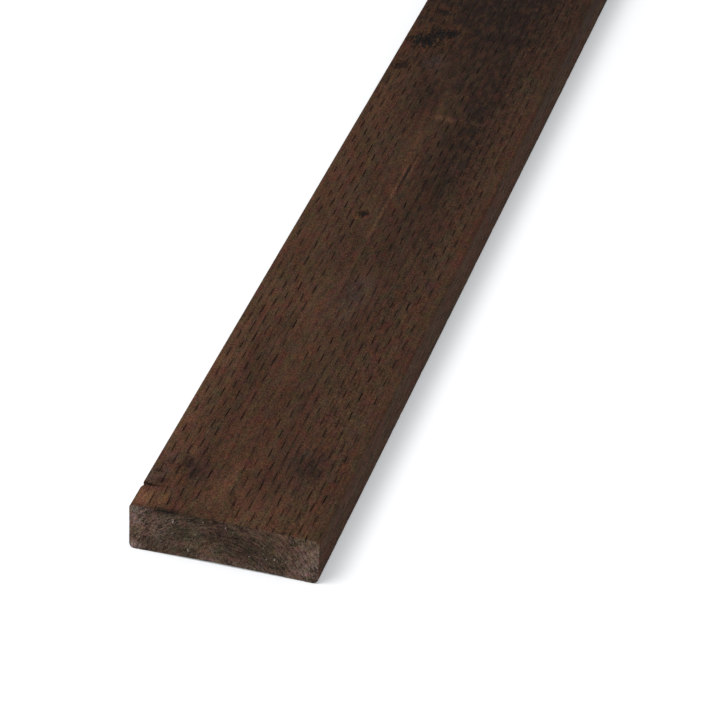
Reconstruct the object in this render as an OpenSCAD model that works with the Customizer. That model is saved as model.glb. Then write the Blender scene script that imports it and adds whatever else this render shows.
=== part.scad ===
// Pressure-treated plank: one sawn length of dimensional lumber, lying flat.
// X runs across the board, Y along it and Z up. The origin is at the middle of the underside.

/* [Board] */
// Length of the board
board_length = 2438; // [600:1:6096]
// Width of the board as surfaced
board_width = 140; // [89:1:286]
// Thickness of the board as surfaced
board_thickness = 38; // [25:1:89]
// Radius of the four eased long edges
ease_radius = 3.5; // [1:0.5:6]

/* [Broken arris] */
// Distance from the near end to the point of the break
break_from_end = 28.5; // [12:0.5:500]
// Length of the break along the arris
break_length = 6.5; // [2:0.5:12]
// How far the break reaches in from the narrow face
break_reach = 7; // [1:0.5:12]
// How far the break runs down the narrow face
break_drop = 9; // [3:0.5:20]
// Share of the break's length on the near side of its point
break_lean = 0.45; // [0.1:0.05:0.9]

/* [Split] */
// Length of the split that runs in from the break
split_length = 15; // [6:1:40]
// Width of the split at the break
split_width = 2.8; // [0.4:0.1:5]
// Depth of the split at the break
split_depth = 5; // [1:0.5:12]
// Angle of the split from square across the board
split_skew = -5; // [-45:1:45]

/* [Hidden] */
$fn = 96;
TREATED_BROWN = [0.27, 0.20, 0.17];
// How far a cutting body stands clear of the face it cuts through
CLEAR = 1;

near_end = -board_length / 2;
break_edge = -board_width / 2;
break_point = near_end + break_from_end;

// Outline of the section, with its four corners eased. The underside is on the X axis.
module section() {
    half_flat = board_width / 2 - ease_radius;
    translate([-half_flat, 0]) square([2 * half_flat, board_thickness]);
    translate([-board_width / 2, ease_radius])
        square([board_width, board_thickness - 2 * ease_radius]);
    for (x = [-half_flat, half_flat], y = [ease_radius, board_thickness - ease_radius])
        translate([x, y]) circle(r = ease_radius);
}

// The surfaced stock, as one extrusion between its two square sawn ends
module stock() {
    rotate([90, 0, 0])
        linear_extrude(height = board_length, center = true) section();
}

// A pointed wedge that starts on the YZ plane and runs out along +X. At its mouth it is `width` long
// and `depth` deep, its top is the XY plane, and `lean` is the share of the mouth on the -Y side.
module dart(run, width, depth, lean = 0.5) {
    grow = (run + CLEAR) / run;
    intersection() {
        translate([0, 0, -depth * grow])
            linear_extrude(height = depth * grow + CLEAR)
                polygon([
                    [-CLEAR, -width * lean * grow],
                    [run, 0],
                    [-CLEAR, width * (1 - lean) * grow]
                ]);
        rotate([90, 0, 0])
            linear_extrude(height = 2 * width * grow, center = true)
                polygon([
                    [-CLEAR, -depth * grow],
                    [run, 0],
                    [run, CLEAR],
                    [-CLEAR, CLEAR]
                ]);
    }
}

// The chip of wood that has broken out of the arris in front of an edge knot
module broken_arris() {
    translate([break_edge, break_point, board_thickness])
        dart(break_reach, break_length, break_drop, break_lean);
}

// The split that carries on from the break, along the front of the knot
module knot_split() {
    translate([break_edge, break_point, board_thickness])
        rotate([0, 0, split_skew]) dart(split_length, split_width, split_depth);
}

module plank() {
    color(TREATED_BROWN)
        difference() {
            stock();
            broken_arris();
            knot_split();
        }
}

plank();
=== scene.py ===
"""An incised, pressure-treated plank, lying flat on a pale floor.

One closed mesh stands for the sawn plank. Its four surfaced faces are laid out in two coordinates, in
millimetres: `s` runs round the section and `y` along the board. Every incision is a real slit in that
skin. The two sawn ends are triangulated caps with torn-fibre relief.
"""

import math
import random
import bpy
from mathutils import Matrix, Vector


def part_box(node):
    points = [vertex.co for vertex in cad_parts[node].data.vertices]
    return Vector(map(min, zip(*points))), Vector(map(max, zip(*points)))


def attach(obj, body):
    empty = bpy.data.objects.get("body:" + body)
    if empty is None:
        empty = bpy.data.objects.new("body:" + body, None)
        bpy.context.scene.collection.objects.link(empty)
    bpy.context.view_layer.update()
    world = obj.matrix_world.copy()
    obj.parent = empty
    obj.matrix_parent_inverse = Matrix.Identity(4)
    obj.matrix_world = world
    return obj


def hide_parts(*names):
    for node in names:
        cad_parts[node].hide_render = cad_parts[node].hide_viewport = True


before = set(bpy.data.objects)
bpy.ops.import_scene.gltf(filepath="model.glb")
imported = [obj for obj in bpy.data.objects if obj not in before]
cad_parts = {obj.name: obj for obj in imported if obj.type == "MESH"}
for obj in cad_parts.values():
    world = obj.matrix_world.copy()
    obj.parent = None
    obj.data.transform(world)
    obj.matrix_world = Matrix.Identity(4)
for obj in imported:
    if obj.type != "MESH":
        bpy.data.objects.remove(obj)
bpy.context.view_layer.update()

from types import SimpleNamespace

import bmesh
import bpy
import numpy as np
from mathutils import Matrix, Vector, noise
from mathutils.geometry import delaunay_2d_cdt

MM = 0.001
LOW, HIGH = (np.array(corner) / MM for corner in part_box("plank"))
WIDTH, LENGTH, THICKNESS = HIGH - LOW
NEAR_END, FAR_END = LOW[1], HIGH[1]

# Radii of the eased long edges: lower right, upper right, upper left and lower left. The upper left
# one left the planer sharper than the rest.
EDGE_RADII = (3.8, 3.8, 2.4, 3.8)

# Incising pattern of the two pairs of rollers: rows, their spacing, and the pitch along a row
WIDE_ROWS, WIDE_SPACING, WIDE_PITCH = 21, 5.95, 26.5
NARROW_ROWS, NARROW_SPACING, NARROW_PITCH = 5, 6.3, 29.5
# The wide rollers' rings run a little off the middle of the board, in two packs. Where the packs part,
# after so many rows, the rows stand further apart, and the slits have closed up again beside the parting.
WIDE_OFFSET, PARTING_ROWS, PARTING_GAP, PARTING_REACH = 1.0, 13, 3.1, 9.0
FIRST_SLITS = (9.0, 17.0, 25.8, 4.0)  # from the near end: underside, right edge, top face, left edge
ROW_SLIP = 1.1  # the most that a whole row is off its place along the board
ROW_WEAR = (0.65, 1.15)  # least and most width that a row's teeth cut, as shares of the usual one

# One slit: its usual sizes, the least and most that its half length varies by, and the least and most
# that its half width, its depth and the points of its mouth are multiplied by
SLIT_HALF_LENGTH, SLIT_HALF_WIDTH, SLIT_DEPTH = 6.5, 0.28, 4.5
LENGTH_SPREAD, WIDTH_SPREAD, DEPTH_SPREAD, RIM_SPREAD = (-1.3, 0.7), (0.65, 1.25), (0.85, 1.1), (0.7, 1.3)
SLIP_ALONG, SLIP_ACROSS = 0.7, 0.25
SLIT_MARGIN = 1.0  # wood left between a slit's tip and the end of its cell
FLOOR_SHARE = 0.45  # how far its floor reaches towards its tips
# Its mouth, point by point: share of the half length, side, and share of the lean
MOUTH = ((-1.0, 0, 1.0), (-0.7, -1, 0.5), (0.65, -1, -0.5), (1.0, 0, -1.0), (0.7, 1, -0.5), (-0.65, 1, 0.5))
# Slits that have closed up again: how many, how unevenly they come, and their stain, width and length
CLOSED_SHARE, CLOSED_DRIFT = 0.10, 0.3
CLOSED_STAIN, CLOSED_WIDTH, CLOSED_LENGTH = (0.7, 0.85), 0.3, (0.5, 0.85)
# Slits that have split on beyond the tooth: how many, and how far
SPLIT_ON_SHARE, SPLIT_ON_LENGTH = 0.03, (1.0, 3.0)

CUP = 1.1  # how far the underside has hollowed as the board cupped, crown up
TOP_CUP, TOP_CROWN_X = 1.5, -20.0  # the same for the top face, and where its crown runs
LONG_WAVE, SHORT_WAVE = 0.07, 0.04  # unevenness that the planer left
EDGE_WEAR, DENT_DEPTH, DENT_RARITY = 0.05, 1.2, 0.34  # wear and dents of the eased edges
# Where the upper left edge has crumbled beside its knot: how far from the near end, how long, how deep
CRUMBLED_FROM_END, CRUMBLED_REACH, CRUMBLED_DEPTH = 41.0, 14.0, 0.6

OVERLENGTH = 34.0  # the skin is made this much longer at each end, then cut square
SAW_CLEARANCE = 0.3  # least distance of a slit's tip from the plane of that cut
EDGE_STEP = 4.6  # spacing of the vertices along an eased edge
STEP_CLEARANCE = 1.2  # least distance of such a vertex from the marks of the row beside it
ARC_STEPS = 4  # facets of an eased edge
SHARP_ANGLE = math.radians(38)
SKIN_SEED, END_SEED = 38140, 2438  # of the random draws for the skin and the sawn ends

# Sawn ends: spacing and jitter of the vertices inside one, and how far they keep from its outline. Their
# grid starts and stops this far inside the section: left and right, and below and above.
CAP_STEP, CAP_JITTER, CAP_CLEARANCE = 1.6, 0.4, 0.55
CAP_MARGINS_X, CAP_MARGINS_Z = (1.6, 1.4), (1.5, 1.3)
SAW_X, SAW_Z = -8.0, -39.0  # middle of the saw's arcs, below the board
SAW_ARC_DEPTH, SAW_ARC_TURN = 0.10, 2.3  # their depth, and radians of their wave for each millimetre
TORN_DEPTH, PULLED_DEPTH, PULLED_RARITY = 0.45, 1.2, 0.25  # torn fibres, and places pulled out deeper
END_WEAR = 0.22  # rounding of a sawn end's own edge

# Texture map: its margin, where the skin ends and the caps begin, their places and their enlargement
MAP_MARGIN, MAP_SKIN_TOP, MAP_GAP = 0.004, 0.925, 0.008
MAP_NEAR_CAP, MAP_FAR_CAP, MAP_CAP_SCALE = 0.74, 0.28, 4.0

SKIN, INCISION, SAWN_END, BROKEN = range(4)


# ---------------------------------------------------------------- section

def section_stretches():
    """The flats of the section, each with the eased edge after it, and the whole perimeter.

    Seen from the near end they are the underside, the right edge, the top face and the left edge. Each
    has a start on the perimeter, a length, a first point, a direction, an outward normal and a radius.
    """
    half = WIDTH / 2
    sides = [
        ((-half, 0.0), (1, 0), (0, -1), WIDTH),
        ((half, 0.0), (0, 1), (1, 0), THICKNESS),
        ((half, THICKNESS), (-1, 0), (0, 1), WIDTH),
        ((-half, THICKNESS), (0, -1), (-1, 0), THICKNESS),
    ]
    stretches, start = [], 0.0
    for k, (corner, along, out, side) in enumerate(sides):
        before, after = EDGE_RADII[k - 1], EDGE_RADII[k]
        flat = side - before - after
        first = (corner[0] + along[0] * before, corner[1] + along[1] * before)
        stretches.append((start, flat, first, along, out, after))
        start += flat + after * math.pi / 2
    return stretches, start


STRETCHES, PERIMETER = section_stretches()


def section_point(s):
    """Position (x, z) and outward normal (nx, nz) at perimeter coordinate s."""
    s = s % PERIMETER
    start, flat, first, along, out, radius = [k for k in STRETCHES if k[0] <= s][-1]
    t = min(s - start, flat)
    x, z = first[0] + along[0] * t, first[1] + along[1] * t
    turn = (s - start - t) / radius
    nx = out[0] * math.cos(turn) + along[0] * math.sin(turn)
    nz = out[1] * math.cos(turn) + along[1] * math.sin(turn)
    return x + (nx - out[0]) * radius, z + (nz - out[1]) * radius, nx, nz


def perlin(x, y, z):
    return noise.noise(Vector((x, y, z)))


def ripple(x, y, z, across, along, shift=0.0):
    """Noise with the given lengths across and along the grain."""
    return perlin(x / across + shift, y / along, z / across)


def relief(x, y, z, nz):
    """How far the surface lies inside the nominal section at this point."""
    half = WIDTH / 2
    if z > THICKNESS / 2:
        cup = TOP_CUP * ((x - TOP_CROWN_X) / (half - TOP_CROWN_X)) ** 2
    else:
        cup = CUP * max(0.0, 1 - (x / (half - EDGE_RADII[0])) ** 2)
    wander = LONG_WAVE * (1 + ripple(x, y, z, across=17, along=160))
    wander += SHORT_WAVE * (1 + ripple(x, y, z, across=5, along=34))
    return cup * abs(nz) + wander


def worn_edge(x, y, z):
    """Extra wear of an eased edge: a slow wander, a few dents, and the crumbled edge knot."""
    dent = max(0.0, ripple(x, y, z, across=30, along=7, shift=9) - DENT_RARITY)
    wear = EDGE_WEAR * (1 + ripple(x, y, z, across=40, along=45)) + DENT_DEPTH * dent
    if x < 0 and z > THICKNESS / 2:
        along = (y - NEAR_END - CRUMBLED_FROM_END) / CRUMBLED_REACH
        crumbs = 1 + 0.8 * perlin(y / 2.5, 3.0, z / 3)
        wear += CRUMBLED_DEPTH * math.exp(-along**2) * crumbs
    return wear


# ---------------------------------------------------------------- skin of the four surfaced faces

class Skin:
    """Vertices and triangles of the surfaced faces, in (s, y) with a depth under the surface."""

    def __init__(self):
        self.s, self.y, self.depth, self.stain = [], [], [], []
        self.faces, self.kinds = [], []

    def vertex(self, s, y, depth=0.0, stain=0.0):
        self.s.append(s)
        self.y.append(y)
        self.depth.append(depth)
        self.stain.append(stain)
        return len(self.s) - 1

    def face(self, a, b, c, kind=SKIN):
        if a != b and b != c and a != c:
            self.faces.append((a, c, b))
            self.kinds.append(kind)

    def zip(self, left, right, kind=SKIN):
        """Fills the strip between two chains of vertices, each in order of y, left one at lower s."""
        i = j = 0
        while i < len(left) - 1 or j < len(right) - 1:
            more_left = i < len(left) - 1
            more_right = j < len(right) - 1
            take_left = more_left and (
                not more_right or self.y[left[i + 1]] <= self.y[right[j + 1]]
            )
            if take_left:
                self.face(left[i], right[j], left[i + 1], kind)
                i += 1
            else:
                self.face(left[i], right[j], right[j + 1], kind)
                j += 1


class Row:
    """One row of incisions: its middle, how wide its teeth cut, the share of slits that have closed, and
    where its cells begin and end.
    """

    def __init__(self, centre, pitch, phase, wear, closed):
        self.centre, self.wear, self.closed = centre, wear, closed
        start = NEAR_END - OVERLENGTH - phase
        count = math.ceil((LENGTH + 2 * OVERLENGTH + phase) / pitch)
        self.bounds = [start + pitch * n for n in range(count + 1)]


def face_rows(start, flat, pattern, first_slit, rng):
    """Lines and rows of one surfaced face: (line positions, rows between them)."""
    rows, spacing, pitch, offset, parting = pattern
    middle = start + flat / 2 + offset
    centres = [middle + (i - (rows - 1) / 2) * spacing for i in range(rows)]
    if parting:
        centres = [c + PARTING_GAP * (0.5 if i >= parting else -0.5) for i, c in enumerate(centres)]
    lines = [start] + [(a + b) / 2 for a, b in zip(centres, centres[1:])] + [start + flat]
    slip = pitch / 2 - OVERLENGTH - first_slit
    made = []
    for i, centre in enumerate(centres):
        phase = (slip + (i % 2) * pitch / 2 + rng.uniform(-1, 1) * ROW_SLIP) % pitch
        closed = CLOSED_SHARE
        if parting:
            away = (centre - lines[parting]) / PARTING_REACH
            closed += math.exp(-away**4)
        made.append(Row(centre, pitch, phase, rng.uniform(*ROW_WEAR), closed))
    return lines, made


def stations(rows, fine):
    """The y of every vertex on a line, from the rows beside it and, beside an eased edge, a fine step."""
    marks = sorted({round(y, 4) for row in rows for y in row.bounds})
    if not fine:
        return marks
    clear = [y for y in fine if min(abs(y - m) for m in near(marks, y)) > STEP_CLEARANCE]
    return sorted(marks + [y for y in clear if marks[0] < y < marks[-1]])


def near(marks, y):
    """The marks either side of y, from a sorted list."""
    at = int(np.searchsorted(marks, y))
    return marks[max(0, at - 1):at + 1]


def clear_of_saw(y, length):
    """Moves a slit on where one of its tips would lie in the plane of a sawn end."""
    for end in (NEAR_END, FAR_END):
        if abs(abs(y - end) - length) < SAW_CLEARANCE:
            y += 2 * SAW_CLEARANCE
    return y


def draw_slit(row, low, high, rng):
    """The middle (s, y), half length, half width, lean and stain of the slit between low and high."""
    chance = rng.random()
    length = SLIT_HALF_LENGTH + rng.uniform(*LENGTH_SPREAD)
    width = SLIT_HALF_WIDTH * row.wear * rng.uniform(*WIDTH_SPREAD)
    y = (low + high) / 2 + rng.uniform(-SLIP_ALONG, SLIP_ALONG)
    stain = 1.0
    if chance < row.closed + CLOSED_DRIFT * perlin(row.centre / 35, y / 110, 7):
        stain = rng.uniform(*CLOSED_STAIN)
        width *= CLOSED_WIDTH
        length *= rng.uniform(*CLOSED_LENGTH)
    elif chance > 1 - SPLIT_ON_SHARE:
        length += rng.uniform(*SPLIT_ON_LENGTH)
    length = min(length, (high - low) / 2 - SLIT_MARGIN)
    y = clear_of_saw(y, length)
    s = row.centre + rng.uniform(-SLIP_ACROSS, SLIP_ACROSS)
    lean = rng.uniform(-1.0, 1.0) * width  # less than the width, so that the two walls never meet
    return s, y, length, width, lean, stain


def add_slit(skin, row, low, high, left, right, rng):
    """Fills one cell of a row with its slit and the wood round it."""
    s, y, length, width, lean, stain = draw_slit(row, low, high, rng)
    rim = []
    for along, side, share in MOUTH:
        across = s + side * width * rng.uniform(*RIM_SPREAD) + lean * share
        rim.append(skin.vertex(across, y + along * length, 0.0, stain))
    floor = [skin.vertex(s, y + along * length, SLIT_DEPTH * rng.uniform(*DEPTH_SPREAD), stain)
             for along in (-FLOOR_SHARE, FLOOR_SHARE)]
    tip0, l0, l1, tip1, r1, r0 = rim
    skin.zip(left, [tip0, l0, l1, tip1])
    skin.zip([tip0, r0, r1, tip1], right)
    skin.face(left[0], right[0], tip0)
    skin.face(left[-1], tip1, right[-1])
    for a, b, c in ((tip0, floor[0], l0), (l0, floor[0], l1), (l1, floor[0], floor[1]),
                    (l1, floor[1], tip1), (tip1, floor[1], r1), (r1, floor[1], r0),
                    (r0, floor[1], floor[0]), (r0, floor[0], tip0)):
        skin.face(a, c, b, INCISION)


def fill_row(skin, row, left, right, rng):
    """Every cell of one row, between two finished lines of vertices."""
    left_y = [skin.y[v] for v in left]
    right_y = [skin.y[v] for v in right]
    for low, high in zip(row.bounds, row.bounds[1:]):
        i0, i1 = (int(np.searchsorted(left_y, y - 0.01)) for y in (low, high))
        j0, j1 = (int(np.searchsorted(right_y, y - 0.01)) for y in (low, high))
        if i1 < len(left) and j1 < len(right):
            add_slit(skin, row, low, high, left[i0:i1 + 1], right[j0:j1 + 1], rng)


def skin_columns(skin, rng):
    """Lines of vertices round the whole section: (chain of vertices, row up to the next line or None)."""
    fine = list(np.arange(NEAR_END - OVERLENGTH, FAR_END + OVERLENGTH, EDGE_STEP))
    wide = (WIDE_ROWS, WIDE_SPACING, WIDE_PITCH, WIDE_OFFSET, PARTING_ROWS)
    narrow = (NARROW_ROWS, NARROW_SPACING, NARROW_PITCH, 0.0, None)
    columns = []
    for stretch, pattern, first_slit in zip(STRETCHES, (wide, narrow) * 2, FIRST_SLITS):
        start, flat, _, _, _, radius = stretch
        lines, made = face_rows(start, flat, pattern, first_slit, rng)
        for k, s in enumerate(lines):
            beside = made[max(0, k - 1):k + 1]
            edge = fine if k in (0, len(lines) - 1) else None
            chain = [skin.vertex(s, y) for y in stations(beside, edge)]
            columns.append((chain, made[k] if k < len(made) else None))
        for step in range(1, ARC_STEPS):
            s = start + flat + radius * math.pi / 2 * step / ARC_STEPS
            columns.append(([skin.vertex(s, y) for y in fine], None))
    return columns


def build_skin():
    """The whole incised skin, longer than the board at both ends."""
    rng = random.Random(SKIN_SEED)
    skin = Skin()
    columns = skin_columns(skin, rng)
    for (left, row), (right, _) in zip(columns, columns[1:] + columns[:1]):
        if row:
            fill_row(skin, row, left, right, rng)
        else:
            skin.zip(left, right)
    return skin


def skin_positions(skin):
    """Millimetre positions of the skin's vertices, with the surface relief."""
    places = np.zeros((len(skin.s), 3))
    for i, (s, y, depth) in enumerate(zip(skin.s, skin.y, skin.depth)):
        x, z, nx, nz = section_point(s)
        inside = relief(x, y, z, nz) + depth
        on_eased_edge = 0.01 < abs(nz) < 0.99
        if on_eased_edge:
            inside += worn_edge(x, y, z)
        places[i] = x - nx * inside, y, z - nz * inside
    return places


# ---------------------------------------------------------------- sawn ends

def end_loop(bm, y):
    """The vertices round a cut end, in order."""
    edges = [e for e in bm.edges if e.is_boundary and all(abs(v.co.y - y) < 1e-6 for v in e.verts)]
    links = {}
    for e in edges:
        a, b = e.verts
        links.setdefault(a, []).append(b)
        links.setdefault(b, []).append(a)
    start = edges[0].verts[0]
    loop, last, at = [start], None, start
    while True:
        ahead = [v for v in links[at] if v is not last]
        last, at = at, ahead[0]
        if at is start:
            return loop
        loop.append(at)


def cap_points(rng):
    """Points inside the section, on a jittered grid."""
    left, right = CAP_MARGINS_X
    below, above = CAP_MARGINS_Z
    xs = np.arange(-WIDTH / 2 + left, WIDTH / 2 - right, CAP_STEP)
    zs = np.arange(below, THICKNESS - above, CAP_STEP)
    return [Vector((x + rng.uniform(-CAP_JITTER, CAP_JITTER), z + rng.uniform(-CAP_JITTER, CAP_JITTER)))
            for x in xs for z in zs]


def sawn_relief(x, z, sign):
    """How far the sawn end lies inside its plane: torn fibres, and the saw's arcs."""
    torn = max(0.0, perlin(x / 1.9, z / 1.9, 5.0 * sign)) * TORN_DEPTH
    wave = math.hypot(x - SAW_X, z - SAW_Z) * SAW_ARC_TURN + 3 * perlin(x / 30, z / 30, 1)
    arcs = SAW_ARC_DEPTH * (1 + math.sin(wave))
    pulled = max(0.0, perlin(x / 6, z / 6, 40 + sign) - PULLED_RARITY) * PULLED_DEPTH
    return torn + arcs + pulled


def clear_of(ring, p, gap):
    """True where p lies inside the ring and at least gap from its vertices."""
    inside = False
    for a, b in zip(ring, ring[1:] + ring[:1]):
        if (a - p).length < gap:
            return False
        if (a.y > p.y) != (b.y > p.y) and p.x < a.x + (p.y - a.y) * (b.x - a.x) / (b.y - a.y):
            inside = not inside
    return inside


def saw_off(bm, y, sign):
    """Cuts the skin square at y and clears away what lies beyond."""
    everything = bm.verts[:] + bm.edges[:] + bm.faces[:]
    bmesh.ops.bisect_plane(bm, geom=everything, plane_co=(0, y, 0), plane_no=(0, sign, 0),
                           clear_outer=True)
    loose = [v for v in bm.verts if not v.link_faces]
    bmesh.ops.delete(bm, geom=loose, context="VERTS")


def cap_end(bm, y, sign, rng):
    """Closes one cut end with a triangulated cap, and wears its edge."""
    loop = end_loop(bm, y)
    ring = [Vector((v.co.x / MM, v.co.z / MM)) for v in loop]
    inner = [p for p in cap_points(rng) if clear_of(ring, p, CAP_CLEARANCE)]
    count = len(ring)
    edges = [(i, (i + 1) % count) for i in range(count)]
    verts, _, tris, origin, _, _ = delaunay_2d_cdt(ring + inner, edges, [], 1, 1e-5)
    made = []
    for place, sources in zip(verts, origin):
        kept = [i for i in sources if i < count]
        if kept:
            made.append(loop[kept[0]])
        else:
            inset = sawn_relief(place.x, place.y, sign)
            made.append(bm.verts.new((place.x * MM, y - sign * inset * MM, place.y * MM)))
    for tri in tris:
        corners = [made[i] for i in tri]
        if len(set(corners)) == 3:
            bm.faces.new(corners).material_index = SAWN_END
    for v in loop:
        v.co.y -= sign * MM * END_WEAR * (1 + perlin(v.co.x / MM / 4, v.co.z / MM / 4, sign))


# ---------------------------------------------------------------- whole mesh

def skin_bmesh(mesh):
    """The incised skin as a bmesh, and the layer that holds each vertex's place round the section."""
    skin = build_skin()
    mesh.from_pydata((skin_positions(skin) * MM).tolist(), [], skin.faces)
    bm = bmesh.new()
    bm.from_mesh(mesh)
    stain = bm.verts.layers.float.new("stain")
    round_s = bm.verts.layers.float.new("round_s")
    for v, value, s in zip(bm.verts, skin.stain, skin.s):
        v[stain] = value
        v[round_s] = s
    for face, kind in zip(bm.faces, skin.kinds):
        face.material_index = kind
    return bm, round_s


def add_object(name, data):
    """A new object in the scene, with the given mesh, lamp or camera."""
    made = bpy.data.objects.new(name, data)
    bpy.context.scene.collection.objects.link(made)
    return made


def build_plank():
    """The plank as one closed mesh, still without its break and its materials."""
    mesh = bpy.data.meshes.new("treated_plank")
    bm, round_s = skin_bmesh(mesh)
    rng = random.Random(END_SEED)
    for y, sign in ((NEAR_END * MM, -1), (FAR_END * MM, 1)):
        saw_off(bm, y, sign)
        cap_end(bm, y, sign, rng)
    bmesh.ops.recalc_face_normals(bm, faces=bm.faces[:])
    for face in bm.faces:
        face.smooth = True
    lay_out(bm, round_s)
    bm.to_mesh(mesh)
    bm.free()
    mesh.set_sharp_from_angle(angle=SHARP_ANGLE)
    return add_object("treated_plank", mesh)


def lay_out(bm, round_s):
    """A texture map that keeps each face unfolded, so that a bake is sharp across the grain."""
    layer = bm.loops.layers.uv.new("OFBake")
    scale_u = (1 - 2 * MAP_MARGIN) / PERIMETER
    cap_scale = (MAP_SKIN_TOP - MAP_MARGIN) / LENGTH * MAP_CAP_SCALE
    for face in bm.faces:
        corners = [loop.vert[round_s] for loop in face.loops]
        wraps = max(corners) - min(corners) > PERIMETER / 2
        cap_u = MAP_FAR_CAP if face.calc_center_median().y > 0 else MAP_NEAR_CAP
        for loop, s in zip(face.loops, corners):
            x, y, z = loop.vert.co / MM
            if face.material_index == SAWN_END:
                u = cap_u + x * scale_u
                v = MAP_SKIN_TOP + MAP_GAP + z * cap_scale
            else:
                u = MAP_MARGIN + (s + PERIMETER * (wraps and s < PERIMETER / 2)) * scale_u
                v = MAP_MARGIN + (y - NEAR_END) / LENGTH * (MAP_SKIN_TOP - MAP_MARGIN)
            loop[layer].uv = (u, v)


# ---------------------------------------------------------------- broken arris

# As in the CAD: distance of the break from the near end, then each dart's run, width and depth, the share
# of its width on the near side of its point, and its angle. The seeds are for their roughness.
BREAK_FROM_END = 28.5
BREAK_DART, BREAK_LEAN, BREAK_SKEW, BREAK_SEED = (7.0, 6.5, 9.0), 0.45, 0.0, 3
SPLIT_DART, SPLIT_LEAN, SPLIT_SKEW, SPLIT_SEED = (15.0, 2.8, 5.0), 0.5, -5.0, 8
CLEAR = 1.0  # how far a cutting body stands clear of the face that it cuts through
ROUGH_SHARE, ROUGH_WIDTH = 0.20, 3.0  # roughness of a cut: a share of its width, or of this if wider


def dart_bmesh(dart, lean):
    """A wedge with finely divided faces, from its mouth on the YZ plane to its point on +X."""
    run, width, depth = dart
    grow = (run + CLEAR) / run
    low, high = -width * lean * grow, width * (1 - lean) * grow
    corners = [(-CLEAR, low, -depth * grow), (-CLEAR, high, -depth * grow), (-CLEAR, high, CLEAR),
               (-CLEAR, low, CLEAR), (run, 0, 0), (run, 0, CLEAR)]
    sides = [(0, 3, 2, 1), (0, 1, 4), (2, 3, 5), (0, 4, 5, 3), (1, 2, 5, 4)]
    bm = bmesh.new()
    verts = [bm.verts.new(c) for c in corners]
    for side in sides:
        bm.faces.new([verts[i] for i in side])
    bmesh.ops.triangulate(bm, faces=bm.faces[:])
    for _ in range(2):
        bmesh.ops.subdivide_edges(bm, edges=bm.edges[:], cuts=1, use_grid_fill=True)
        bmesh.ops.triangulate(bm, faces=bm.faces[:])
    return bm


def roughen(bm, size, seed):
    """Jogs the vertices of a wedge that will cut wood, and leaves its mouth and top straight."""
    for v in bm.verts:
        if v.co.x > -CLEAR * 0.9 and v.co.z < 0.1:
            jog = [perlin(v.co.x * 0.9 + k * 7 + seed, v.co.y * 0.9, v.co.z * 0.5) for k in range(3)]
            v.co += Vector(jog) * size


def dart_object(name, dart, lean, skew, seed, materials):
    """A ragged wedge in its place at the left arris, of broken wood."""
    bm = dart_bmesh(dart, lean)
    roughen(bm, ROUGH_SHARE * min(dart[1], ROUGH_WIDTH), seed)
    turn = Matrix.Rotation(math.radians(skew), 4, "Z")
    place = Vector((-WIDTH / 2, NEAR_END + BREAK_FROM_END, THICKNESS))
    bm.transform(Matrix.Scale(MM, 4) @ Matrix.Translation(place) @ turn)
    bmesh.ops.recalc_face_normals(bm, faces=bm.faces[:])
    mesh = bpy.data.meshes.new(name)
    bm.to_mesh(mesh)
    bm.free()
    for material in materials:
        mesh.materials.append(material)
    mesh.polygons.foreach_set("material_index", [BROKEN] * len(mesh.polygons))
    return add_object(name, mesh)


def cut_dart(plank, name, dart, lean, skew, seed):
    """Cuts a ragged wedge into the left arris, from its mouth on the narrow face to its point."""
    cutter = dart_object(name, dart, lean, skew, seed, plank.data.materials)
    cut = plank.modifiers.new(name, "BOOLEAN")
    cut.operation, cut.solver, cut.object = "DIFFERENCE", "MANIFOLD", cutter
    shape = bpy.context.evaluated_depsgraph_get()
    result = bpy.data.meshes.new_from_object(plank.evaluated_get(shape))
    if len(result.polygons) == len(plank.data.polygons):
        raise RuntimeError(f"{name} did not cut the plank")
    plank.modifiers.clear()
    plank.data = result
    bpy.data.objects.remove(cutter)


# ---------------------------------------------------------------- wood

PITH_X, PITH_Z = 2.0, -7.0  # where the tree's centre runs, just under the board
RING_WIDTH = 3.3
GRAIN_WANDER = 26.0  # how far the grain strays sideways along the board, from one side to the other
RAGGEDNESS = 4.0  # how far the knots' outlines stray, in their own radii, from least to most
KNOT_REACH = 9.0  # in a knot's radii, the distance beyond which none is felt

# Knots, all of which come out of the top face: x there, distance from the near end, radius, and how
# black the heart is
KNOTS = [
    (-62, 41, 8.0, 0.36),
    (-22, 440, 3.8, 0.90),
    (-60, 692, 5.0, 0.80),
    (-50, 742, 9.5, 1.00),
    (-43, 756, 7.5, 1.00),
    (-32, 761, 6.0, 1.00),
    (-50, 797, 5.0, 0.90),
    (44, 1010, 8.0, 0.90),
    (-12, 1260, 3.5, 0.90),
    (-50, 1490, 9.0, 0.85),
    (58, 1705, 7.0, 0.90),
    (18, 1960, 5.0, 0.90),
    (-36, 2190, 7.5, 0.90),
]
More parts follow.
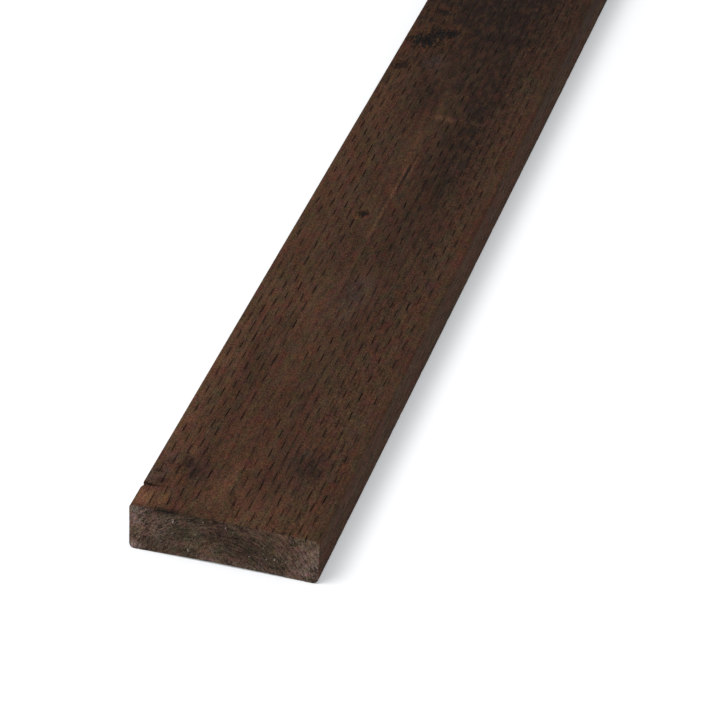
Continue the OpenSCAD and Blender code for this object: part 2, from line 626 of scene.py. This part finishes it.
# Darker patches: x, distance from the near end, half width, half length, strength. Most are darker stain;
# those at 84, 640 and 860 mm are partly painted shade, of light falling off along the board and of a board
# standing beside the right edge.
DARK_AND_SHADE_PATCHES = [
    (-42, 0, 15, 3.5, 0.90),
    (-60, 28.5, 8, 2.2, 1.2),
    (-58, 35, 5, 4.5, 1.0),
    (-63, 46.5, 4, 2.5, 1.0),
    (-56.5, 62, 2, 3.5, 1.0),
    (-45.5, 64, 2, 6, 0.95),
    (-58, 60, 8, 7, 0.60),
    (-47, 59, 10, 11, 0.80),
    (-37, 54, 12, 17, 0.75),
    # Partly painted shade from a board beside the right edge
    (36, 84, 16, 22, 0.75),
    (22, 62, 16, 12, 0.30),
    (-38, 190, 12, 50, 0.30),
    (6, 180, 10, 50, 0.25),
    (-28, 250, 16, 30, 0.30),
    (2, 318, 15, 28, 0.50),
    (-20, 385, 14, 50, 0.25),
    (-25, 515, 14, 60, 0.22),
    (14, 115, 18, 20, 0.22),
    (14, 400, 16, 50, 0.40),
    (-6.2, 512, 1.4, 22, 1.30),
    (-11, 455, 1.2, 30, 0.60),
    # Partly darker wood, partly painted shade from a board beside the right edge
    (24, 640, 28, 290, 0.85),
    (8, 675, 32, 38, 0.80),
    (-33, 711, 9, 9, 0.45),
    (12, 766, 36, 18, 1.30),
    (-42, 754, 20, 10, 0.95),
    (-16, 766, 20, 8, 0.95),
    (-24, 655, 20, 50, 0.75),
    (-50, 799, 18, 12, 1.30),
    # Partly darker wood, partly painted shade where the light falls off along the board
    (-10, 860, 90, 220, 1.05),
    (20, 1450, 45, 120, 0.40),
    (-20, 2120, 40, 90, 0.45),
]
# Lighter, redder patches, given in the same way
WARM_PATCHES = [
    (-64, 12, 8, 13, 0.9),
    (-50, 13, 8, 12, 0.35),
    (-14, 48, 18, 34, 0.25),
    (20, 8, 40, 25, 0.25),
    (-65, 40, 3, 6, 0.8),
    (-47, 77, 4, 6, 0.7),
    (-64, 170, 16, 150, 0.35),
    (-64, 480, 16, 160, 0.12),
    (-30, 265, 26, 60, 0.15),
    (-8.8, 480, 1.3, 50, 1.0),
    (-12.5, 553, 1.8, 26, 1.2),
    (-4.2, 532, 1.1, 24, 0.9),
    (8, 613, 22, 4, 0.8),
    (-40, 749, 9, 5, 0.7),
    (-58, 640, 12, 60, 0.35),
    (30, 1250, 20, 80, 0.4),
    (-35, 1700, 22, 90, 0.4),
    (22, 2300, 24, 70, 0.4),
]
# Mauve bloom of the stain on short grain, in the same way
MAUVE_PATCHES = [
    (-63, 40, 9, 11, 1.3),
    (-60, 60, 12, 10, 0.35),
    (-42, 56, 12, 14, 0.25),
    (34, 82, 14, 22, 0.20),
    (3, 318, 14, 26, 0.35),
    (-33, 707, 9, 14, 0.50),
]
# Dark patches of a sawn end: x, height, half width, half height, strength
END_DARK = [
    (-42, 38, 14, 4.0, 1.1),
    (-12, 36, 26, 5.5, 0.55),
    (0, 38.5, 90, 1.8, 0.5),
    (1, 33, 7, 5, 0.60),
    (14, 17, 24, 12, 0.50),
    (33, 25, 11, 6, 0.50),
    (-38, 5, 16, 5, 0.40),
    (-55, 11, 7, 5, 0.40),
    (-45, 18, 7, 5, 0.40),
    (-35, 25, 7, 5, 0.40),
    (34, 33, 14, 5, 0.40),
]
# Places where it is dry and worn pale, in the same way
END_DRY = [
    (-58, 35, 6, 5, 0.50),
    (-65, 31, 9, 11, 0.60),
    (-66, 3, 7, 4, 0.90),
    (-50, 20, 12, 12, 0.30),
    (65, 12, 12, 18, 0.45),
    (20, 2, 50, 3.5, 0.30),
]
ARCH_RADIUS, ARCH_WIDTH = 64.0, 7.0  # a darker arc among the saw's


def linear(red, green, blue):
    """A colour given as 8-bit sRGB, as the shader wants it."""
    parts = (c / 255 for c in (red, green, blue))
    return (*(c / 12.92 if c <= 0.04045 else ((c + 0.055) / 1.055) ** 2.4 for c in parts), 1.0)


RED_BROWN, OLIVE_BROWN = linear(73, 46, 34), linear(71, 52, 37)
OLIVE_SHADE, UMBER_SHADE = linear(54, 42, 29), linear(53, 38, 32)
# The last of these colours the dark patches, some of them partly painted shade.
WARM, MAUVE, DARK_AND_SHADE = linear(106, 73, 53), linear(96, 79, 73), linear(33, 22, 17)
KNOT_RIM, HEART_BLACK, HEART_CRUMB = linear(88, 54, 34), linear(10, 8, 7), linear(64, 49, 40)
# The first darkens the wood round a slit's mouth: partly stain, partly painted shade.
SLIT_HALO_AND_SHADE, SLIT_WALL, BROKEN_SHADE = linear(30, 23, 19), linear(26, 19, 16), linear(34, 27, 22)
END_RED, END_OLIVE, END_ARCH = linear(94, 72, 60), linear(88, 74, 60), linear(46, 42, 33)
END_PALE, END_SHADE, END_FLECK = linear(128, 109, 103), linear(25, 22, 19), linear(196, 184, 176)


class Nodes:
    """Adds nodes to one tree, with sockets or plain values as inputs."""

    def __init__(self, tree):
        self.tree = tree

    def add(self, kind, inputs=None, **settings):
        node = self.tree.nodes.new(kind)
        for name, value in settings.items():
            setattr(node, name, value)
        for key, value in (inputs or {}).items():
            if isinstance(value, bpy.types.NodeSocket):
                self.tree.links.new(value, node.inputs[key])
            else:
                node.inputs[key].default_value = value
        return node

    def math(self, operation, *values):
        return self.add("ShaderNodeMath", dict(enumerate(values)), operation=operation).outputs[0]

    def product(self, *values):
        result = values[0]
        for value in values[1:]:
            result = self.math("MULTIPLY", result, value)
        return result

    def length(self, a, b):
        """The length of the vector (a, b)."""
        return self.math("SQRT", self.math("MULTIPLY_ADD", a, a, self.math("MULTIPLY", b, b)))

    def span(self, value, low, high, to_low=0.0, to_high=1.0, kind="SMOOTHSTEP"):
        """Maps value from one range to another, clamped."""
        inputs = {0: value, 1: low, 2: high, 3: to_low, 4: to_high}
        return self.add("ShaderNodeMapRange", inputs, interpolation_type=kind).outputs[0]

    def bell(self, value, width):
        """exp(-(value / width)^2)"""
        ratio = self.math("DIVIDE", value, width)
        return self.math("EXPONENT", self.product(ratio, ratio, -1.0))

    def blend(self, factor, a, b, kind="MIX"):
        node = self.add("ShaderNodeMix", {0: factor, 6: a, 7: b}, data_type="RGBA", blend_type=kind)
        return node.outputs[2]

    def stretch(self, vector, x, y, z):
        scale = self.add("ShaderNodeVectorMath", {0: vector, 1: (x, y, z)}, operation="MULTIPLY")
        return scale.outputs[0]

    def place(self):
        """The point on the board in millimetres: the vector, and its x, y and z."""
        vector = self.stretch(self.add("ShaderNodeTexCoord").outputs["Object"], 1 / MM, 1 / MM, 1 / MM)
        return vector, *self.add("ShaderNodeSeparateXYZ", {0: vector}).outputs

    def noise(self, vector, scale=1.0, detail=2.0, rough=0.5, output=0):
        inputs = {"Vector": vector, "Scale": scale, "Detail": detail, "Roughness": rough}
        return self.add("ShaderNodeTexNoise", inputs).outputs[output]

    def grainy(self, vector, across, along, detail, rough, output=0):
        """Noise with its own scales across and along the board."""
        return self.noise(self.stretch(vector, across, along, across), 1.0, detail, rough, output)

    def vary(self, colour, fields, low, high):
        """Lightens and darkens a colour by the sum of (noise, gain) pairs, within limits."""
        value = 1.0
        for field, gain in fields:
            value = self.math("ADD", value, self.math("MULTIPLY_ADD", field, gain, -gain / 2))
        value = self.math("MINIMUM", self.math("MAXIMUM", value, low), high)
        grey = self.add("ShaderNodeCombineXYZ", {0: value, 1: value, 2: value}).outputs[0]
        return self.blend(1.0, colour, grey, "MULTIPLY")

    def tint(self, colour, vector, gain):
        """Shifts the three channels of a colour apart by a fine noise."""
        shift = self.noise(vector, 1.0, 2.0, 0.6, output=1)
        low = 1 - gain / 2
        inputs = {0: shift, 1: (gain, gain, gain), 2: (low, low, low)}
        factor = self.add("ShaderNodeVectorMath", inputs, operation="MULTIPLY_ADD").outputs[0]
        return self.blend(1.0, colour, factor, "MULTIPLY")


def add_knot(n, x, y, z, knot):
    """One knot's fields: how far out it is in its own radii, and the sideways push on the grain."""
    surface_x, from_end, radius, _ = knot
    reach = math.hypot(surface_x - PITH_X, THICKNESS - PITH_Z)
    out_x, out_z = (surface_x - PITH_X) / reach, (THICKNESS - PITH_Z) / reach
    rel_x = n.math("SUBTRACT", x, PITH_X)
    rel_z = n.math("SUBTRACT", z, PITH_Z)
    out = n.math("MULTIPLY_ADD", rel_x, out_x, n.math("MULTIPLY", rel_z, out_z))
    side = n.math("MULTIPLY_ADD", rel_x, -out_z, n.math("MULTIPLY", rel_z, out_x))
    rise = n.math("SUBTRACT", y, NEAR_END + from_end)
    # A cone, with about a quarter of its radius at the pith and all of it at the surface
    size = n.math("MULTIPLY_ADD", n.math("MAXIMUM", out, 4.0), 0.75 * radius / reach, 0.25 * radius)
    flattened = n.product(rise, rise, 0.45)  # a knot is longer along the grain than it is wide
    around = n.math("SQRT", n.math("MULTIPLY_ADD", side, side, flattened))
    behind = n.span(out, -1.0, -6.0, 0.0, 40.0, "LINEAR")  # none of it is beyond the pith
    distance = n.math("ADD", n.math("DIVIDE", around, size), behind)
    # The grain parts round it, further along the board than across
    near_y = n.bell(rise, 4.2 * radius)
    near_side = n.bell(side, 2.6 * radius)
    push = n.math("MULTIPLY", n.product(near_y, near_side), n.math("MULTIPLY", side, -0.8))
    return distance, n.math("MULTIPLY", push, -out_z), n.math("MULTIPLY", push, out_x)


def knot_fields(n, place, x, y, z):
    """All the knots: distance from the nearest, how black the hearts are, and x and z as they push them."""
    ragged = n.grainy(place, 0.38, 0.20, 4.0, 0.75)
    ragged = n.math("MULTIPLY_ADD", ragged, RAGGEDNESS, -RAGGEDNESS / 2)
    nearest, black = KNOT_REACH, 0.0
    warped_x, warped_z = x, z
    for knot in KNOTS:
        distance, push_x, push_z = add_knot(n, x, y, z, knot)
        distance = n.math("ADD", distance, ragged)
        nearest = n.math("MINIMUM", nearest, distance)
        black = n.math("MAXIMUM", black, n.span(distance, 1.35, 0.5, 0.0, knot[3]))
        warped_x = n.math("ADD", warped_x, push_x)
        warped_z = n.math("ADD", warped_z, push_z)
    return nearest, black, warped_x, warped_z


def wandering_grain(n, place, y, warped_x, warped_z):
    """Coordinates that follow the grain as it wanders along the board: the vector, and its x and z."""
    wander = n.grainy(place, 0.012, 0.0022, 2.0, 0.5, output=1)
    drift = n.add("ShaderNodeSeparateXYZ", {0: wander}).outputs
    grain_x = n.math("MULTIPLY_ADD", drift[0], GRAIN_WANDER, warped_x)
    grain_z = n.math("MULTIPLY_ADD", drift[2], GRAIN_WANDER, warped_z)
    grain = n.add("ShaderNodeCombineXYZ", {0: grain_x, 1: y, 2: grain_z}).outputs[0]
    return grain, grain_x, grain_z


def ring_field(n, grain, grain_x, grain_z):
    """The year rings round the pith: pale early wood that rises to a thin dark line."""
    from_x = n.math("SUBTRACT", grain_x, PITH_X + GRAIN_WANDER / 2)
    from_z = n.math("SUBTRACT", grain_z, PITH_Z + GRAIN_WANDER / 2)
    radius = n.length(from_x, from_z)
    uneven = n.grainy(grain, 0.05, 0.004, 3.0, 0.55)
    turn = n.math("ADD", n.math("DIVIDE", radius, RING_WIDTH), n.math("MULTIPLY", uneven, 2.4))
    phase = n.math("FRACT", turn)
    rise = n.span(phase, 0.25, 0.92, kind="LINEAR")
    fall = n.span(phase, 0.92, 1.0, 1.0, 0.0)
    return n.math("MULTIPLY", n.math("POWER", rise, 2.2), fall)


def wood_fields(n):
    """Every field that the wood's colour and relief are made from."""
    place, x, y, z = n.place()
    nearest, black, warped_x, warped_z = knot_fields(n, place, x, y, z)
    grain, grain_x, grain_z = wandering_grain(n, place, y, warped_x, warped_z)
    fine = n.grainy(grain, 1.7, 0.14, 3.0, 0.65)
    hair = n.grainy(grain, 4.5, 0.35, 2.0, 0.6)
    # The underside has the same patches as the top, counted from the far end
    face_up = n.math("GREATER_THAN", z, THICKNESS / 2)
    from_end = n.math("MULTIPLY_ADD", y, n.math("MULTIPLY_ADD", face_up, 2.0, -1.0), LENGTH / 2)
    return SimpleNamespace(
        place=place,
        x=x,
        from_end=from_end,
        nearest=nearest,
        black=black,
        ring=ring_field(n, grain, grain_x, grain_z),
        fibre=n.math("ADD", n.math("MULTIPLY", fine, 0.6), n.math("MULTIPLY", hair, 0.4)),
        hue=n.grainy(grain, 0.12, 0.016, 4.0, 0.65),
        streak=n.grainy(grain, 0.40, 0.0065, 3.0, 0.6),
        fuzz=n.grainy(place, 0.85, 0.50, 3.0, 0.75),
        mottle=n.grainy(place, 0.06, 0.026, 4.0, 0.6),
        stain=n.grainy(place, 0.19, 0.075, 4.0, 0.7),
        lumps=n.grainy(place, 0.35, 0.12, 3.0, 0.6),
    )


def patch_field(n, a, b, patches, cloud):
    """The strongest of the patches at this place, broken up by a cloud.

    Each patch is given by its middle and half sizes in the two coordinates, and its strength.
    """
    field = None
    for middle_a, middle_b, half_a, half_b, strength in patches:
        across = n.bell(n.math("SUBTRACT", a, middle_a), half_a)
        along = n.bell(n.math("SUBTRACT", b, middle_b), half_b)
        one = n.product(across, along, strength)
        field = one if field is None else n.math("MAXIMUM", field, one)
    return n.math("MULTIPLY", field, cloud)


def wood_colour(n, f):
    """The stained colour: its slow changes, the patches, some of them partly painted shade, the knots, and
    the fine grain over all.
    """
    warm = patch_field(n, f.x, f.from_end, WARM_PATCHES, n.span(f.mottle, 0.35, 0.60, 0.5, 1.2))
    mauve = patch_field(n, f.x, f.from_end, MAUVE_PATCHES, n.span(f.stain, 0.36, 0.60, 0.6, 1.2))
    # Dark patches: darker stain, and in some of them painted shade
    dark_and_shade = patch_field(n, f.x, f.from_end, DARK_AND_SHADE_PATCHES, n.span(f.stain, 0.36, 0.60, 0.65, 1.2))
    colour = n.blend(n.span(f.hue, 0.40, 0.60), RED_BROWN, OLIVE_BROWN)
    colour = n.blend(n.span(f.stain, 0.48, 0.66, 0.0, 0.6), colour, OLIVE_SHADE)
    colour = n.blend(n.span(f.mottle, 0.54, 0.74, 0.0, 0.5), colour, UMBER_SHADE)
    colour = n.blend(warm, colour, WARM)
    colour = n.blend(mauve, colour, MAUVE)
    colour = n.blend(dark_and_shade, colour, DARK_AND_SHADE)

    rim = n.math("MULTIPLY", n.span(f.nearest, 2.4, 1.2), 0.35)
    colour = n.blend(rim, colour, KNOT_RIM)
    crumbs = n.math("ADD", n.math("MULTIPLY", f.fuzz, 0.4), n.math("MULTIPLY", f.stain, 0.6))
    heart = n.blend(n.span(crumbs, 0.54, 0.63), HEART_BLACK, HEART_CRUMB)
    colour = n.blend(f.black, colour, heart)

    gains = ((f.fuzz, 4.3), (f.fibre, 2.2), (f.streak, 0.7), (f.mottle, 0.7), (f.ring, -0.28))
    colour = n.vary(colour, gains, 0.2, 2.2)
    colour = n.tint(colour, n.stretch(f.place, 0.42, 0.32, 0.42), 0.4)
    return n.tint(colour, n.stretch(f.place, 0.17, 0.10, 0.17), 0.7)


def wood_height(n, f):
    """The wood's relief, for the bump."""
    height = 0.0
    for field, gain in ((f.fibre, 0.9), (f.fuzz, 0.7), (f.lumps, 0.8), (f.ring, 0.5), (f.black, 0.4)):
        height = n.math("MULTIPLY_ADD", field, gain, height)
    return height


def wood_group():
    """The solid wood: rings round the pith, knots, fibres and the stain's patches, some of them partly
    painted shade, in millimetres.
    """
    tree = bpy.data.node_groups.new("treated_wood", "ShaderNodeTree")
    for name, kind in (("Colour", "Color"), ("Ring", "Float"), ("Fibre", "Float"), ("Height", "Float")):
        tree.interface.new_socket(name, in_out="OUTPUT", socket_type="NodeSocket" + kind)
    n = Nodes(tree)
    f = wood_fields(n)
    n.add("NodeGroupOutput", {
        "Colour": wood_colour(n, f), "Ring": f.ring, "Fibre": f.fibre, "Height": wood_height(n, f)})
    return tree


def new_material(name):
    material = bpy.data.materials.new(name)
    material.use_nodes = True
    material.node_tree.nodes.clear()
    return material, Nodes(material.node_tree)


def wooden_material(name, wood):
    """A new material, its nodes, and the outputs of the wood in it."""
    material, n = new_material(name)
    return material, n, n.add("ShaderNodeGroup", node_tree=wood).outputs


def finish_material(n, colour, roughness, height, distance):
    """The rough, matte surface that every part of the plank shares."""
    bump = n.add("ShaderNodeBump", {"Height": height, "Distance": distance * MM, "Strength": 1.0})
    shader = n.add("ShaderNodeBsdfPrincipled", {
        "Base Color": colour, "Roughness": roughness, "Normal": bump.outputs[0],
        "Specular IOR Level": 0.08})
    n.add("ShaderNodeOutputMaterial", {0: shader.outputs[0]})


def skin_material(wood):
    """Surfaced, stained faces. They are darker beside the slits, partly from stain that soaked in there and
    partly as painted shade round the slits' mouths.
    """
    material, n, w = wooden_material("treated_face", wood)
    stain = n.add("ShaderNodeAttribute", attribute_name="stain").outputs["Fac"]
    # Darker round the mouth of each open slit: partly stain that soaked in, partly painted shade
    halo_and_shade = n.math("MULTIPLY", n.math("POWER", stain, 5.0), 0.5)
    colour = n.blend(halo_and_shade, w["Colour"], SLIT_HALO_AND_SHADE)
    finish_material(n, colour, n.span(w["Fibre"], 0.3, 0.7, 0.78, 0.96), w["Height"], 0.35)
    return material


def incision_material(wood):
    """Walls of the slits: crushed, oversaturated fibres."""
    material, n, w = wooden_material("incision", wood)
    colour = n.blend(0.6, w["Colour"], SLIT_WALL)
    finish_material(n, colour, n.span(w["Fibre"], 0.3, 0.7, 0.88, 0.98), w["Height"], 0.2)
    return material


def end_colour(n, place, x, z, around, ragged):
    """A sawn end's slow changes of colour: a greyer, drier stain, a dark arch, and patches."""
    hue = n.noise(place, 0.06, 3.0, 0.6)
    base = n.blend(n.span(hue, 0.42, 0.58), END_RED, END_OLIVE)
    arch = n.math("MULTIPLY", n.bell(n.math("SUBTRACT", around, ARCH_RADIUS), ARCH_WIDTH), ragged)
    base = n.blend(n.math("MULTIPLY", arch, 0.45), base, END_ARCH)
    base = n.blend(patch_field(n, x, z, END_DRY, ragged), base, END_PALE)
    return n.blend(patch_field(n, x, z, END_DARK, ragged), base, END_SHADE)


def end_material(wood):
    """Rough-sawn end grain: rings, torn fibres, saw lines and pale flecks."""
    material, n, w = wooden_material("sawn_end", wood)
    place, x, _, z = n.place()
    cloud = n.noise(place, 0.085, 4.0, 0.62)
    blot = n.noise(place, 0.22, 2.0, 0.6)
    speck = n.noise(place, 0.62, 2.0, 0.7)
    grit = n.noise(place, 1.6, 2.0, 0.7)
    around = n.length(n.math("SUBTRACT", x, SAW_X), n.math("SUBTRACT", z, SAW_Z))
    lines = {0: n.math("MULTIPLY", around, 0.75), 1: n.math("MULTIPLY", x, 0.11)}
    sawn = n.noise(n.add("ShaderNodeCombineXYZ", lines).outputs[0], 1.0, 2.0, 0.6)

    base = end_colour(n, place, x, z, around, n.span(blot, 0.35, 0.62, 0.5, 1.2))
    gains = ((grit, 5.2), (speck, 3.0), (blot, 1.4), (sawn, 2.8), (cloud, 1.8), (w["Ring"], -0.35))
    base = n.vary(base, gains, 0.15, 2.6)
    base = n.tint(base, n.stretch(place, 0.50, 0.50, 0.50), 0.4)
    base = n.tint(base, n.stretch(place, 0.19, 0.22, 0.22), 0.5)
    fleck = n.math("MULTIPLY", n.span(n.noise(place, 0.36, 0.0), 0.80, 0.84), n.span(grit, 0.45, 0.55))
    base = n.blend(n.math("MULTIPLY", fleck, 0.9), base, END_FLECK)
    height = n.math("MULTIPLY_ADD", grit, 0.8, n.math("MULTIPLY", sawn, 0.5))
    height = n.math("ADD", height, n.math("MULTIPLY_ADD", w["Ring"], 0.3, speck))
    finish_material(n, base, n.span(speck, 0.3, 0.7, 0.85, 0.98), height, 0.7)
    return material


def broken_material(wood):
    """Wood laid bare in the broken arris, darker than the surfaced faces."""
    material, n, w = wooden_material("broken_wood", wood)
    colour = n.blend(0.6, w["Colour"], BROKEN_SHADE)
    finish_material(n, colour, n.span(w["Fibre"], 0.3, 0.7, 0.85, 0.98), w["Height"], 0.5)
    return material


def dress(plank):
    """Gives the plank its materials, in the order of SKIN, INCISION, SAWN_END and BROKEN."""
    wood = wood_group()
    for make in (skin_material, incision_material, end_material, broken_material):
        plank.data.materials.append(make(wood))


# ---------------------------------------------------------------- stage

FLOOR_REACH = 40.0
FLOOR_GLOW = 0.26  # what the camera sees of the floor beyond its own lit colour
WORLD_LIGHT = 0.50
# The lamp faces a point on the floor, this many metres from the near end, and hangs at an offset from it
LIT_FROM_END, LAMP_OFFSET = 0.4, (-1.3, -1.3, 3.2)
LAMP_SIZE, LAMP_POWER = 2.0, 68

# The camera: its direction and roll in degrees, the point of the floor that it looks at (x, and distance
# from the near end, in millimetres), its distance in metres, and its lens
CAMERA_AZIMUTH, CAMERA_ELEVATION, CAMERA_ROLL = 14.46, 32.91, 2.4
TARGET_X, TARGET_FROM_END = 19.1, 288.9
CAMERA_DISTANCE = 2.8311
CAMERA_LENS, CAMERA_SENSOR = 184.1, 36.0


def seen_by_eye(n):
    """1 for what the camera sees, straight or in a mirror or through glass."""
    path = n.add("ShaderNodeLightPath").outputs
    mirrored = n.math("MAXIMUM", path["Is Glossy Ray"], path["Is Transmission Ray"])
    return n.math("MAXIMUM", path["Is Camera Ray"], mirrored)


def floor_material():
    """Pale grey to the light that it sends back, and white to the eye."""
    material, n = new_material("pale_floor")
    plain = n.add("ShaderNodeBsdfDiffuse", {"Color": (0.8, 0.8, 0.8, 1)}).outputs[0]
    lit = n.add("ShaderNodeBsdfDiffuse", {"Color": (1, 1, 1, 1)}).outputs[0]
    glow = n.add("ShaderNodeEmission", {"Color": (0.88, 0.94, 1, 1), "Strength": FLOOR_GLOW}).outputs[0]
    white = n.add("ShaderNodeAddShader", {0: lit, 1: glow}).outputs[0]
    shown = n.add("ShaderNodeMixShader", {0: seen_by_eye(n), 1: plain, 2: white}).outputs[0]
    n.add("ShaderNodeOutputMaterial", {0: shown})
    return material


def lay_floor():
    mesh = bpy.data.meshes.new("floor")
    r = FLOOR_REACH
    mesh.from_pydata([(-r, -r, 0), (r, -r, 0), (r, r, 0), (-r, r, 0)], [], [(0, 1, 2, 3)])
    mesh.materials.append(floor_material())
    floor = add_object("floor", mesh)


def light_world(strength):
    """An even, soft light all round, and a white background to the eye."""
    world = bpy.data.worlds.new("studio")
    world.use_nodes = True
    world.node_tree.nodes.clear()
    n = Nodes(world.node_tree)
    soft = n.add("ShaderNodeBackground", {"Color": (1, 1, 1, 1), "Strength": strength}).outputs[0]
    white = n.add("ShaderNodeBackground", {"Color": (1, 1, 1, 1), "Strength": 1.0}).outputs[0]
    shown = n.add("ShaderNodeMixShader", {0: seen_by_eye(n), 1: soft, 2: white}).outputs[0]
    n.add("ShaderNodeOutputWorld", {0: shown})
    bpy.context.scene.world = world


def hang_lamp(name, place, target, size, power):
    """A square soft box that faces the target."""
    lamp = bpy.data.lights.new(name, "AREA")
    lamp.size = size
    lamp.energy = power
    holder = add_object(name, lamp)
    away = (Vector(place) - Vector(target)).normalized()
    turn = away.to_track_quat("Z", "Y").to_matrix().to_4x4()
    holder.matrix_world = Matrix.Translation(place) @ turn


def aim_camera():
    """A long lens that looks down on the near end, with the far end out of the view."""
    azimuth, elevation = math.radians(CAMERA_AZIMUTH), math.radians(CAMERA_ELEVATION)
    back = Vector((math.sin(azimuth) * math.cos(elevation),
                   -math.cos(azimuth) * math.cos(elevation), math.sin(elevation)))
    target = Vector((TARGET_X, NEAR_END + TARGET_FROM_END, 0.0)) * MM
    camera = bpy.data.cameras.new("camera")
    camera.lens = CAMERA_LENS
    camera.sensor_width = CAMERA_SENSOR
    holder = add_object("camera", camera)
    roll = Matrix.Rotation(math.radians(CAMERA_ROLL), 3, "Z")
    turn = back.to_track_quat("Z", "Y").to_matrix() @ roll
    holder.matrix_world = Matrix.Translation(target + back * CAMERA_DISTANCE) @ turn.to_4x4()
    bpy.context.scene.camera = holder


def main():
    bpy.context.scene.view_settings.view_transform = "Standard"
    aim_camera()
    lay_floor()
    light_world(WORLD_LIGHT)
    lit = (0.0, NEAR_END * MM + LIT_FROM_END, 0.0)
    place = tuple(middle + offset for middle, offset in zip(lit, LAMP_OFFSET))
    hang_lamp("soft_box", place, lit, LAMP_SIZE, LAMP_POWER)
    plank = build_plank()
    dress(plank)
    cut_dart(plank, "break", BREAK_DART, BREAK_LEAN, BREAK_SKEW, BREAK_SEED)
    cut_dart(plank, "split", SPLIT_DART, SPLIT_LEAN, SPLIT_SKEW, SPLIT_SEED)
    plank.data.set_sharp_from_angle(angle=SHARP_ANGLE)
    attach(plank, "root")
    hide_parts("plank")


main()
